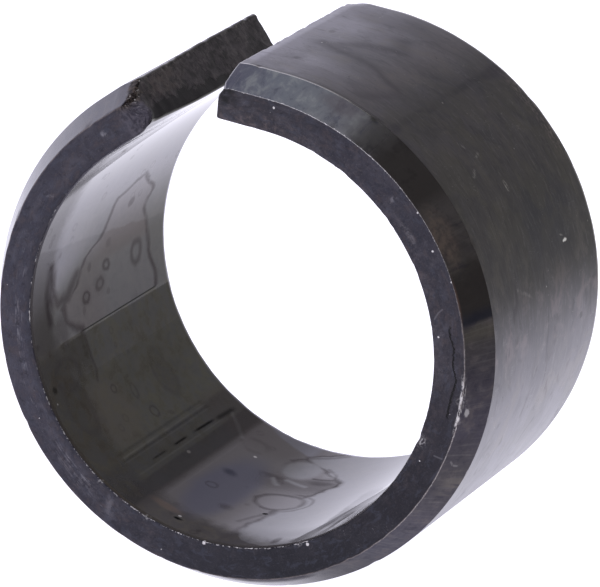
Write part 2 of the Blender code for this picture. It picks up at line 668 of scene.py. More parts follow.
BARE_STEEL = (0.62, 0.60, 0.585)
BEATEN_STEEL = (0.085, 0.078, 0.076)
PAST_CUT = 70  # a round run just beyond the right cut

# Tones along the strip, from the left cut to the right one.
OUTSIDE_TONES = [
    (0.110, 0.106, 0.132), (0.110, 0.106, 0.132), (0.110, 0.106, 0.132), (0.110, 0.106, 0.130),
    (0.115, 0.110, 0.136), (0.096, 0.092, 0.115), (0.053, 0.049, 0.055), (0.083, 0.075, 0.086),
    (0.130, 0.124, 0.150)]
CHAMFER_TONES_LEFT = [
    (0.052, 0.051, 0.064), (0.076, 0.075, 0.093), (0.086, 0.084, 0.100), (0.090, 0.088, 0.100),
    (0.064, 0.059, 0.067)]
CHAMFER_TONES_RIGHT = [
    (0.060, 0.055, 0.062), (0.058, 0.056, 0.061), (0.050, 0.048, 0.061), (0.052, 0.048, 0.059),
    (0.051, 0.047, 0.051), (0.047, 0.043, 0.055), (0.045, 0.041, 0.049), (0.052, 0.048, 0.046),
    (0.056, 0.051, 0.048), (0.082, 0.075, 0.072), (0.096, 0.091, 0.092), (0.104, 0.102, 0.103),
    (0.104, 0.111, 0.114), (0.096, 0.104, 0.114), (0.050, 0.050, 0.068)]
FACE_TONES = [
    (0.028, 0.026, 0.035), (0.027, 0.026, 0.037), (0.035, 0.033, 0.045), (0.018, 0.017, 0.024),
    (0.009, 0.009, 0.013), (0.009, 0.008, 0.012), (0.023, 0.021, 0.028), (0.020, 0.019, 0.028),
    (0.025, 0.023, 0.028)]
LIP_TONES = [
    (0.120, 0.116, 0.140), (0.120, 0.114, 0.132), (0.075, 0.068, 0.066), (0.045, 0.040, 0.032),
    (0.055, 0.047, 0.035), (0.050, 0.044, 0.036), (0.050, 0.045, 0.045), (0.060, 0.054, 0.056)]

# Outlines in the bore. The pool's front and back depth lie at even steps along it, and the
# film's run at even steps from the mouth to the back.
POOL_RUNS = (-52, -37)
POOL_FRONT = [23.4, 18.8, 17.5, 17.1, 16.5, 15.9, 15.0, 12.8, 11.6, 10.9, 9.9, 7.5, 7.3, 7.7, 9.2, 10.8]
POOL_BACK = [23.4, 24.3, 26.0, 27.0, 26.2, 25.8, 26.5, 27.0, 27.2, 27.4, 27.6, 27.8, 28.3, 28.8, 28.7, 28.3]
FILM_EDGE = [
    -1.2, -4.8, -6.1, -6.4, -6.0, -5.6, -5.3, -5.0, -4.7, -3.6, -2.9, -2.6, -4.4, -6.6, -9.3, -7.4, -5.5]

# How far in the dirt at the mouth reaches and how strong it is, from the left tip past the bottom.
MOUTH_RUNS = (-66, 12)
MOUTH_REACH = [2.5, 4.0, 4.8, 4.7, 4.6, 5.5, 7.6, 6.2, 5.4, 4.8, 3.8, 1.5, 0.9, 0.6]
MOUTH_DIRT = [0.32, 0.40, 0.50, 0.52, 0.80, 0.80, 0.56, 0.52, 0.50, 0.70, 0.80, 0.65, 0.30, 0.2]

# Where the chamfer's toe was hit, how much it is rubbed, the crack's height in the wall, and
# bright nicks in the face as run, level and size.
KNOCKED_RUN = 27.6
TOE_RUBBED = [0.0, 0.05, 0.12, 0.35, 0.35, 0.45, 0.35, 0.15, 0.25, 0.45, 0.75, 1.0, 0.85, 0.7, 0.6]
CRACK_COURSE = [2.20, 2.13, 2.18, 2.32, 2.46, 2.10, 2.18, 2.20, 1.94, 2.08]
FACE_NICKS = [
    (-8.3, 0.25, 0.26), (3.9, 0.45, 0.24), (34.3, 0.75, 0.15), (42.8, 2.6, 0.15), (63.8, 2.65, 0.18),
    (46.6, 3.2, 0.14), (20.6, 1.15, 0.12), (39.5, 3.25, 0.14)]


# ---------------------------------------------------------------- finishes of the steel


def outside_finish():
    """Rolled and oiled: satin, with fine marks round the sleeve, smears of oil and a few nicks."""
    f = new_finish("oiled_outside")
    run, depth, level = f.strip()
    clouds = f.noise((9, 6, 9), 4, 0.6, 0.8)
    patches = f.noise((4.5, 2.6, 5), 4, 0.62, 0.6)
    blotches = f.noise(3.0, 4, 0.65, 0.4)
    brushed = f.noise((14, 0.40, 9), 4, 0.6)
    fine = f.noise((0.45, 0.16, 0.3), 3, 0.6)
    slide, lift = f.wander(5.0, 1.2), f.wander(4.4, 1.0)
    straight = Drawing(run, depth)
    wavy = Drawing(run + slide, depth + lift)

    # Smears of oil, and wiped places that also carry a painted highlight.
    thinned = 0.70 + 0.30 * patches.rise(0.40, 0.58)
    hook = ((58.6, 7.0), (57.2, 9.2), (57.0, 11.6), (58.8, 13.6), (61.5, 14.8), (65.8, 16.2))
    smears = f.larger(
        0.85 * thinned * wavy.trail(hook, 1.3),
        0.8 * thinned * wavy.trail(((64.0, 17.6), (61.2, 18.8), (60.0, 21.0), (60.8, 23.4)), 1.5),
        0.6 * wavy.blot((64.5, 16.0), (2.4, 1.4), 1.3),
        0.45 * wavy.blot((63.0, 28.0), (5.0, 2.6), 1.4, 0.3),
        0.9 * Drawing(run + 0.3 * slide, depth).blot((53.7, 4.6), (0.7, 1.3)),
        Drawing(run + 0.3 * slide, depth).blot((53.6, 29.5), (0.8, 2.4)),
        0.6 * f.noise((5, 2.6, 6), 3, 0.55, 1.8).rise(0.56, 0.74))
    wiped_highlight = f.larger(
        wavy.blot((63.0, 10.0), (3.0, 2.2), 1.4, 0.3), 0.6 * wavy.blot((66.3, 22.5), (2.0, 3.0), 1.4, 0.3))

    # Heat tones, clouded and blotched, with a dark crease along the upper side.
    f.colour = f.tones(run, -PAST_CUT, PAST_CUT, OUTSIDE_TONES)
    f.coat(clouds.rise(0.40, 0.62) * 0.50, (0.038, 0.036, 0.038))
    f.coat(patches.rise(0.48, 0.68) * 0.35, (0.120, 0.115, 0.125))
    f.coat(blotches.rise(0.52, 0.64) * 0.50, (0.108, 0.097, 0.092))
    f.coat(blotches.rise(0.48, 0.37) * 0.52, (0.038, 0.036, 0.048))
    crease = run + 0.3 * slide - 53.8
    crease = f.larger(abs(crease).rise(0.9, 0.1), 0.40 * abs(crease).rise(3.0, 0.4))
    crease = crease * (0.6 + 0.4 * blotches.rise(0.42, 0.56))
    f.coat(crease * 0.90, (0.030, 0.027, 0.036))
    bluish = wavy.blot((39.8, 21.0), (4.0, 7.5), 1.3, 0.5)
    f.coat(bluish * 0.70, (0.034, 0.034, 0.048))
    f.coat(run.rise(55.5, 57.5) * run.rise(61, 58) * 0.35, (0.105, 0.088, 0.092))
    olive = f.noise(4, 3, 0.6, 0.6).rise(0.46, 0.60) * run.rise(36, 42) * run.rise(58, 53)
    f.coat(olive * 0.45, (0.080, 0.073, 0.064))
    # Painted highlight on the wiped places.
    f.coat(wiped_highlight * 0.45, (0.180, 0.172, 0.205))
    # Painted highlight on the outside next to the right tip.
    f.coat(run.rise(64.6, 68.6) * wavy.across.rise(5, 10) * 0.6, (0.215, 0.208, 0.240))
    rosy = blotches.rise(0.50, 0.60) * run.band(32.0, 5.0)
    f.coat(rosy * 0.50, (0.128, 0.104, 0.118))
    rubbed = f.noise((1.7, 0.35, 2.5), 4, 0.7, 0.8)
    f.coat(rubbed.rise(0.55, 0.66) * 0.36, (0.150, 0.140, 0.150))
    f.coat(rubbed.rise(0.46, 0.35) * 0.42, (0.042, 0.037, 0.042))
    f.coat(brushed.rise(0.45, 0.80) * 0.25 * run.rise(50, 30), (0.170, 0.165, 0.190))
    f.coat(smears * 0.72, (0.030, 0.025, 0.033))

    # Edges, scratches and nicks are worn to bare steel. The back rim's bright line is worn and also a painted
    # highlight, and the bright line at the right cut's edge is a painted highlight.
    heel = reach(depth - CHAMFER_RUN, level - WALL)
    broken = f.noise((2.2, 0.3, 0.3), 4, 0.7)
    worn = 0.8 * edge_wear(heel, 0.15, broken, run.rise(54, 62))
    # The back rim is worn, and its bright line is also a painted highlight.
    rim = reach(depth - LENGTH, level - WALL)
    worn = f.larger(worn, 0.75 * rim.rise(0.80, 0.40) * broken.rise(0.36, 0.52))
    scuffed = depth.rise(LENGTH - 3.2, LENGTH - 1.0) * run.rise(42, 46) * run.rise(54, 51)
    f.coat(scuffed * fine.rise(0.48, 0.62) * 0.6, (0.260, 0.215, 0.215))
    shadow = heel.band(0.40, 0.20) * level.rise(WALL - 0.1, WALL - 0.02) * run.rise(52, 58)
    f.coat(shadow * 0.8, (0.020, 0.019, 0.022))
    scratches = f.larger(
        0.7 * straight.blot((44.4, 15.8), (0.50, 0.30), 1.4, 0.6),
        *straight.scuffs(
            (0.4, ((46.5, 10.6), (47.0, 11.6)), 0.3), (0.4, ((49.2, 12.8), (49.7, 12.3)), 0.3),
            (0.4, ((47.9, 13.6), (48.1, 14.4)), 0.25), (0.25, ((35.9, 10.5), (34.8, 13.2)), 0.3)))
    scratches = scratches * fine.rise(0.44, 0.58)
    hairs = f.noise((0.5, 2.6, 4), 2, 0.5, 1.5)
    hairs = 0.4 * abs(hairs - 0.5).rise(0.006, 0.001) * patches.rise(0.54, 0.62)
    scratches = f.larger(scratches, hairs)
    specks = f.spots(3.4).rise(0.035, 0.020)
    nicked = f.mark("bare").rise(0.30, 0.55) * f.noise(0.25, 2).rise(0.36, 0.50)
    nicked = nicked * run.rise(28.0, 36.0)
    struck = (straight.oval((37.35, 24.1), (0.14, 0.55)) + 1.6 * (fine - 0.5)).rise(1.1, 0.8)
    # Painted highlight along the right cut's edge.
    ends = run.rise(BLANK_HALF - 0.22, BLANK_HALF - 0.08)
    worn = f.larger(worn, struck, 0.3 * nicked, 0.6 * scratches, 0.5 * specks, 0.4 * ends)
    f.coat(worn, f.mix(struck, BARE_STEEL, (0.95, 0.94, 0.94)))
    pits = f.larger(
        f.spots(2.3).rise(0.06, 0.03),
        (straight.oval((29.8, 27.0), (0.35, 0.55)) + fine).rise(1.6, 1.1),
        0.6 * straight.blot((65.7, 9.2), (0.3, 0.4), 1.4, 0.6),
        0.7 * straight.blot((66.5, 19.8), (0.3, 0.5), 1.4, 0.6),
        *straight.scuffs(
            (0.7, ((22.4, 5.6), (23.0, 6.6)), 0.3), (0.5, ((21.2, 8.2), (20.4, 9.6)), 0.3),
            (0.5, ((28.1, 7.6), (27.3, 8.8)), 0.3), (0.5, ((29.8, 9.8), (29.5, 10.8)), 0.3)))
    f.coat(pits * 0.7, (0.020, 0.018, 0.022))
    left_cut = run.rise(0.5 - BLANK_HALF, 0.2 - BLANK_HALF) * broken.rise(0.36, 0.56)
    f.coat(f.larger(0.8 * left_cut, f.mark("beaten")), BEATEN_STEEL)
    roughness = 0.25 + 0.08 * brushed + 0.08 * patches + 0.10 * smears - 0.04 * wiped_highlight
    height = 0.4 * f.noise((7, 0.12, 9), 2, 0.5) + 0.7 * fine - 1.5 * pits
    return f.surface({
        "Metallic": 1.0 - 0.3 * smears, "Roughness": roughness, "Specular IOR Level": 0.3,
        "Normal": f.bump(height, 0.004)})


def knocked_toe(run):
    """The stretch of the chamfer's toe that something hit."""
    return abs(run - KNOCKED_RUN).rise(3.0, 2.0)


def toe_line(f, run, toe, beads, broken):
    """The bright line where the front face meets the chamfer, by how much it was rubbed."""
    rubbed = f.profile(run, 0, PAST_CUT, 0, 1, TOE_RUBBED)
    line = f.larger(0.9 * beaded(toe, beads, 0.045), 0.4 * toe.rise(0.07, 0.02))
    ticks = broken.rise(0.62, 0.70) * toe.rise(0.12, 0.05)
    return f.larger(rubbed * line, 0.5 * ticks * run.rise(34, 38))


def chamfer_finish():
    """Planed across: smoother than the outside, tinted brown and olive, a bright line at each edge."""
    f = new_finish("planed_chamfer")
    run, depth, level = f.strip()
    straight = Drawing(run, depth)
    clouds = f.noise((3.0, 5.0, 5.0), 4, 0.65, 0.5)
    tinted = f.noise((1.4, 2.3, 2.3), 5, 0.65, 0.3)
    mottle = f.noise((0.7, 0.6, 0.6), 4, 0.65)
    planed = f.noise((0.20, 5.0, 5.0), 3, 0.6)
    f.colour = f.tones(run, 0, PAST_CUT, CHAMFER_TONES_RIGHT)
    left = run.rise(1.0, -3.0)
    f.coat(left, f.tones(run, -PAST_CUT, 0, CHAMFER_TONES_LEFT))
    upper = run.rise(52, 58)
    # lower and low mark painted shade: the lower right of the chamfer, and its toe near the bottom.
    lower = run.rise(-2, 6) * run.rise(56, 52)
    low = depth.rise(2.4, 0.6) * run.rise(-9, -3) * run.rise(6, 2)
    f.coat(tinted.rise(0.50, 0.66) * 0.50, f.mix(upper, (0.090, 0.078, 0.078), (0.180, 0.190, 0.178)))
    f.coat(tinted.rise(0.48, 0.34) * 0.60, f.mix(upper, (0.026, 0.024, 0.034), (0.056, 0.060, 0.078)))
    f.coat(clouds.rise(0.48, 0.34) * 0.40, (0.040, 0.037, 0.042))
    f.coat(planed.rise(0.52, 0.70) * 0.16, (0.150, 0.142, 0.140))
    f.coat(mottle.rise(0.45, 0.75) * 0.16, (0.110, 0.104, 0.110))
    slide = f.wander(2.2, 0.9)
    block = run.rise(35.05, 35.45) * (run + slide).rise(41.2, 39.2)
    f.coat(block * 0.85, f.mix(run.rise(35.6, 36.8), (0.016, 0.017, 0.023), (0.026, 0.023, 0.021)))
    # Painted shade: a dark band high on the right of the chamfer.
    shaded_band = (run + 0.6 * slide).rise(45.2, 47.6) * (run + 0.3 * slide).rise(54.6, 52.0)
    f.coat(shaded_band * 0.75, (0.036, 0.032, 0.029))
    brown = Drawing(run + slide, depth).blot((43.6, 0.8), (2.7, 1.6), 1.3)
    f.coat(brown * (0.20 + 0.50 * mottle.rise(0.35, 0.62)), (0.150, 0.118, 0.098))
    olive = (run + 0.4 * slide).band(34.2, 1.2) * run.rise(35.2, 35.0)
    f.coat(olive * 0.32, (0.092, 0.084, 0.060))

    # The toe and the heel are worn, and the toe is chipped where something hit it.
    toe = reach(depth, level - TOE)
    heel = reach(depth - CHAMFER_RUN, level - WALL)
    broken = f.noise((1.1, 0.3, 0.3), 4, 0.75)
    beads = f.noise((0.35, 0.3, 0.3), 3, 0.7)
    chips = f.noise((0.9, 0.28, 0.28), 3, 0.7)
    knocked = knocked_toe(run)
    worn = toe_line(f, run, toe, beads, broken)
    worn = f.larger(worn, 0.45 * edge_wear(heel, 0.11, broken, run.rise(48, 62)))
    chipped = knocked * toe.rise(0.40, 0.20) * chips.rise(0.50, 0.56)
    nicked = f.mark("bare") * f.noise(0.3, 2).rise(0.44, 0.56)
    scratch = straight.trail(((21.8, 0.9), (21.4, 1.3), (21.3, 1.9)), 0.18) * mottle.rise(0.40, 0.56)
    struck = (straight.oval((26.9, 0.85), (0.45, 0.30)) + 1.5 * (mottle - 0.5)).rise(1.1, 0.7)
    # Painted highlight along the right cut's edge.
    ends = abs(run).rise(BLANK_HALF - 0.22, BLANK_HALF - 0.10)
    worn = f.larger(
        worn, 0.60 * chipped, 0.16 * nicked, 0.3 * ends * run.rise(-1, 1), 0.11 * scratch, 0.35 * struck)
    tan = toe.rise(0.16, 0.05) * run.rise(40, 34) * broken.rise(0.35, 0.6)
    f.coat(tan * 0.5, (0.22, 0.19, 0.18))
    rust = toe.rise(0.35, 0.10) * run.band(37.8, 3.0)
    f.coat(rust * 0.45, (0.130, 0.080, 0.066))
    f.coat(worn, BARE_STEEL)
    mauve = Drawing(run + slide, depth).blot((58.6, 2.8), (1.8, 1.2), 1.4, 0.5)
    f.coat(mauve * (1 - worn) * 0.5, (0.062, 0.054, 0.058))
    teeth = run.band(19.3, 2.6) * f.noise((0.30, 5, 5), 1).rise(0.50, 0.62)
    teeth = teeth * depth.rise(0.6, 2.2)
    f.coat(teeth * 0.35, (0.130, 0.116, 0.100))
    beaten, glint, bruise = battered(f, level)
    torn = (run + 0.9 * (mottle - 0.5)).rise(1.25 - BLANK_HALF, 0.75 - BLANK_HALF)
    beaten = f.larger(beaten, torn)
    f.coat(beaten, bruise)
    f.coat(f.larger(glint, 0.5 * torn * mottle.rise(0.62, 0.68)), BARE_STEEL)
    height = 0.6 * planed + 0.4 * mottle - 0.6 * teeth
    # Less mirror over the lower right and near the toe at the bottom is painted shade.
    stain_and_shade = f.larger(
        0.80 * lower * run.rise(42, 36), 0.80 * block, 0.40 * lower,
        0.35 * upper * tinted.rise(0.5, 0.35))
    stain_and_shade = f.larger(stain_and_shade, 0.9 * low)
    return f.surface({
        "Metallic": f.larger(worn, 1.0 - stain_and_shade) * (1 - 0.5 * beaten), "Specular IOR Level": 0.0,
        "Roughness": 0.13 + 0.12 * mottle + 0.3 * beaten, "Normal": f.bump(height, 0.004)})


def crack(f, run, level):
    """A fine split in the middle of the wall, down the right-hand side of the front face."""
    wander = f.noise((0.45, 40, 40), 4, 0.75)
    course = f.profile(run, 26, 35.5, 1.5, 3.0, CRACK_COURSE) + 0.80 * (wander - 0.5)
    width = 0.050 + 0.040 * wander.rise(0.42, 0.58) + 0.02 * run.rise(31, 28)
    split = run.rise(25.9, 26.3) * run.rise(35.6, 35.0)
    return (abs(level - course) / width).rise(1.4, 0.5) * split


def battered(f, level):
    """Where the left tip was beaten, where it glints there, and the colours of the bruised steel."""
    lumps = f.noise((0.42, 0.5, 0.6), 4, 0.75, 0.3)
    streaks = f.noise((0.28, 0.6, 1.6), 3, 0.65)
    beaten = (f.mark("beaten") + 0.7 * (lumps - 0.5)).rise(0.30, 0.62)
    grains = f.noise((0.30, 0.3, 0.34), 3, 0.7)
    glint = beaten * grains.rise(0.61, 0.67) * (0.20 + 0.80 * level.rise(2.6, 3.4))
    violet = f.mix(lumps.rise(0.40, 0.62), (0.030, 0.027, 0.037), (0.074, 0.068, 0.084))
    brown = f.mix(lumps.rise(0.44, 0.58), (0.012, 0.010, 0.010), (0.082, 0.066, 0.056))
    bruise = f.mix(level.rise(2.3, 3.3), violet, brown)
    bruise = f.mix(streaks.rise(0.50, 0.68) * 0.50, bruise, (0.110, 0.098, 0.108))
    bruise = f.mix(streaks.rise(0.46, 0.32) * 0.50, bruise, (0.010, 0.009, 0.010))
    return beaten, glint, bruise


def front_finish():
    """Turned face under black oxide: matte, with pale specks, scratches and worn edges."""
    f = new_finish("blackened_face")
    run, depth, level = f.strip()
    face = Drawing(run, level)
    clouds = f.noise((2.6, 5, 1.8), 4, 0.65, 0.8)
    speckle = f.noise(0.2, 3, 0.7)
    mottle = f.noise((0.8, 0.8, 0.6), 4, 0.7)
    broken = f.noise((1.1, 0.3, 0.3), 4, 0.75)
    beads = f.noise(0.3, 3, 0.7)
    gaps = f.noise((2.4, 3, 3), 2, 0.6)
    # Painted shade: the tones darken the face around the bottom, and the pale clouds and specks thin out
    # there.
    f.colour = f.tones(run, -PAST_CUT, PAST_CUT, FACE_TONES)
    upper = abs(run - 8).rise(14, 26)
    f.coat(clouds.rise(0.42, 0.70) * (0.10 + 0.30 * upper), (0.074, 0.069, 0.082))
    f.coat(mottle.rise(0.50, 0.30) * 0.60, (0.007, 0.007, 0.011))
    f.coat(speckle.rise(0.52, 0.74) * (0.20 + 0.15 * upper), (0.100, 0.092, 0.098))
    shaded = level.rise(1.1, 0.3) * run.rise(-10, -22) * run.rise(-64, -56)
    f.coat(shaded * 0.55, (0.012, 0.012, 0.018))
    dusty = f.larger(run.rise(50, 66), 0.45 * run.rise(8, 24), 0.12) * level.rise(2.8, 0.2)
    dust = f.noise((0.9, 0.9, 0.6), 5, 0.75).rise(0.46, 0.66) * dusty
    f.coat(dust * 0.7, (0.105, 0.084, 0.084))
    hue = f.noise((1.5, 1.5, 0.8), 4, 0.7, 0.5)
    f.coat(hue.rise(0.52, 0.64) * 0.30, (0.046, 0.050, 0.070))
    f.coat(hue.rise(0.47, 0.36) * 0.40 * upper, (0.052, 0.040, 0.042))
    blue = face.blot((45.0, 1.6), (6.5, 0.5), 1.5, 0.3) * mottle.rise(0.56, 0.44)
    f.coat(blue * 0.55, (0.016, 0.017, 0.026))

    # Rubs and scratches, most of them on the left.
    drawn = f.noise((1.7, 5, 0.14), 4, 0.65, 0.4)
    rubs = f.larger(
        0.8 * face.stroke((-29.0, 1.3), (-20.5, 1.4), 0.40),
        0.7 * face.stroke((-45.0, 1.5), (-34.0, 1.35), 0.45),
        0.4 * face.blot((-24.0, 1.9), (3.2, 0.7), 1.4, 0.3)) * drawn.rise(0.46, 0.60)
    rubs = f.larger(
        rubs, 0.3 * face.trail(((-19.8, 0.9), (-19.5, 1.5), (-19.1, 2.1)), 0.7),
        0.8 * face.blot((-64.8, 1.95), (0.30, 0.32), 1.3, 0.5),
        0.4 * face.blot((45.4, 1.2), (1.6, 0.4), 1.2),
        0.6 * face.blot((49.0, 1.95), (0.3, 0.4), 1.2)) * mottle.rise(0.40, 0.60)
    rubs = f.larger(
        rubs, 0.35 * face.trail(((36.2, 0.6), (36.8, 1.1), (37.1, 1.6)), 0.13),
        0.4 * face.trail(((-55.8, 1.1), (-55.4, 1.6)), 0.26) * mottle.rise(0.40, 0.55),
        0.3 * face.trail(((21.9, 2.2), (22.0, 3.0)), 0.15))
    left = run.rise(-14, -24) * run.rise(-62, -46) * level.band(1.5, 1.5)
    rubs = f.larger(rubs, drawn.rise(0.58, 0.72) * (0.05 + 0.5 * left))
    f.coat(rubs, (0.17, 0.165, 0.18))
    slanting = f.noise((0.9, 5, 3.0), 2, 0.5, 1.2)
    scratches = abs(slanting - 0.5).rise(0.008, 0.002) * clouds.rise(0.60, 0.66) * run.rise(-12, 0)
    f.coat(scratches * 0.30, (0.24, 0.23, 0.235))

    # The edges: the chamfer's toe outside, and the mouth of the bore inside.
    toe = reach(depth, level - TOE)
    mouth = reach(depth - 0.04, level - LIP_LEVEL + 0.04)
    chips = f.noise((0.9, 0.28, 0.28), 3, 0.7)
    knocked = knocked_toe(run)
    worn = f.larger(
        toe_line(f, run, toe, beads, broken),
        0.65 * knocked * toe.rise(0.30, 0.14) * chips.rise(0.47, 0.53))
    # Painted glints on the burr along the mouth, kept to where it is lit.
    lit = f.larger(
        run.rise(-20, -14), 0.70 * run.rise(-38, -28),
        0.60 * gaps.rise(0.46, 0.54) * run.rise(-60, -52)) * run.rise(5, 3.8)
    worn = f.larger(worn, beaded(mouth, beads, 0.045) * lit * (0.4 + 0.6 * gaps.rise(0.40, 0.55)))
    inside = depth.rise(0.08, 0.20) * level.rise(LIP_LEVEL + 0.12, LIP_LEVEL + 0.02)
    f.coat(inside * 0.85, f.tones(run, *MOUTH_RUNS, LIP_TONES))
    tan = toe.rise(0.13, 0.04) * run.rise(40, 34) * broken.rise(0.35, 0.6)
    f.coat(tan * 0.40, (0.23, 0.19, 0.175))
    nicks = 0.0
    for at_run, at_level, size in FACE_NICKS:
        away = reach(run - at_run, level - at_level) + 0.2 * speckle
        nicks = f.larger(away.rise(size + 0.08, 0.5 * size + 0.08), nicks)
    specks = (f.spots(2.6) + 0.05 * speckle).rise(0.062, 0.040)
    nicked = f.mark("bare") * f.noise(0.28, 2).rise(0.46, 0.60)
    worn = f.larger(worn, 0.5 * specks, 0.8 * nicks, 0.5 * nicked * (1 - 0.6 * knocked))
    f.coat(worn, BARE_STEEL)

    # The beaten left tip, the bruised right one and the crack.
    beaten, glint, bruise = battered(f, level)
    tip = run.rise(2.9 - BLANK_HALF, 1.6 - BLANK_HALF)
    f.coat(f.larger(beaten, 0.65 * tip), bruise)
    f.coat(glint, BARE_STEEL)
    bruised = run.rise(BLANK_HALF - 2.4, BLANK_HALF - 0.6)
    bruised = bruised * level.rise(1.2, 2.2) * mottle.rise(0.68, 0.46)
    split = crack(f, run, level)
    dark = f.larger(split, 0.8 * bruised)
    f.coat(dark, grey(0.002))
    shine = f.larger(worn, glint) * (1 - dark)
    height = 0.9 * speckle + 0.8 * mottle - 3.0 * split - 0.6 * scratches
    return f.surface({
        "Metallic": shine, "Roughness": 0.46 - 0.12 * shine, "Specular IOR Level": 0.17,
        "Normal": f.bump(height, 0.022)})


class Oil(Drawing):
    """The skin of oil in the bore, whose outlines waver."""

    def __init__(self, f):
        run, depth, _ = f.strip()
        slide, lift = f.wander(3.6, 0.30), f.wander(4.1, 0.35)
        self.ragged = f.noise(1.1, 2, 0.5) - 0.5
        super().__init__(run + slide + 0.6 * self.ragged, depth + lift)
        self.run, self.depth = run, depth
        self.slow = f.noise(7, 2, 0.5)
        self.faint = f.noise(2.2, 2).rise(0.34, 0.56)
        self.flecks = f.noise(0.5, 3, 0.6)
        self.mottle = f.noise(1.8, 4, 0.65)
        self.cloudy = f.noise((1.1, 1.4, 1.1), 5, 0.7, 0.6)
        self.straight = Drawing(run, depth)
        self.halfway = Drawing(self.along, depth)

    def stain(self, at, half, soft=0.3):
        return self.blot(at, half, 1 + soft, 1 - soft)


def dried_pool(f, oil):
    """A pool crept up the left side to a point, and left spots where it dried."""
    above = oil.run.rise(-36.95, -37.1)
    front = f.profile(oil.along, *POOL_RUNS, 6, 30, POOL_FRONT) - oil.across
    edge = f.larger(front, oil.across - f.profile(oil.along, *POOL_RUNS, 6, 30, POOL_BACK)) + 0.5 * oil.ragged
    inside = edge.rise(0.25, -0.25) * above * oil.run.rise(-52.1, -51.7)
    rim = edge.band(0.0, 0.80) * above * oil.run.rise(-52.3, -51.6) * (0.6 + 0.4 * oil.faint)
    rim = f.larger(rim, 0.9 * oil.trail(((-50.6, 18.0), (-51.6, 20.6), (-52.0, 23.0), (-51.0, 24.8)), 0.5))
    crest = (oil.along + 48.3 - 0.13 * (oil.across - 5.5)).rise(-0.1, 0.3) * above
    stripe = inside * crest * oil.run.rise(-43.2, -44.8) * oil.depth.rise(14, 18)
    clean = inside * oil.run.rise(-43.8, -42.8) * oil.depth.rise(14.5, 18.5)
    spots = f.larger(
        oil.ring((-40.2, 12.7), (0.65, 0.75), 0.8), 0.8 * oil.ring((-40.9, 16.0), (0.6, 0.7), 0.8),
        0.9 * oil.ring((-42.6, 17.5), (0.5, 0.6), 0.9), 0.5 * oil.stain((-43.5, 13.6), (0.5, 0.5)),
        0.35 * oil.stain((-40.3, 12.7), (1.2, 1.3), 0.6), 0.3 * oil.stain((-40.9, 16.0), (1.1, 1.2), 0.6),
        0.3 * oil.stain((-45.2, 17.7), (0.6, 0.6)), 0.4 * oil.stain((-39.5, 17.6), (0.4, 0.4)),
        0.7 * oil.stain((-48.8, 21.8), (0.6, 0.7)), 0.8 * oil.ring((-42.1, 24.7), (1.3, 1.1), 0.6),
        0.4 * oil.stain((-38.9, 12.0), (0.5, 0.4)))
    drips = f.larger(
        oil.trail(((-46.2, 4.2), (-43.6, 4.8), (-41.6, 6.4), (-41.7, 8.4), (-43.6, 10.4)), 1.1),
        0.7 * oil.trail(((-46.0, 4.2), (-43.0, 3.9), (-40.0, 4.2)), 1.2),
        0.8 * oil.stain((-43.4, 4.9), (2.4, 0.8), 0.5),
        0.9 * oil.trail(((-41.2, 7.6), (-39.0, 7.5), (-38.2, 8.8), (-37.2, 11.0)), 0.9),
        0.6 * oil.stain((-38.3, 6.6), (1.8, 1.2), 0.5))
    return SimpleNamespace(
        inside=inside, rim=rim, crest=crest, stripe=stripe, clean=clean, spots=spots, drips=drips)


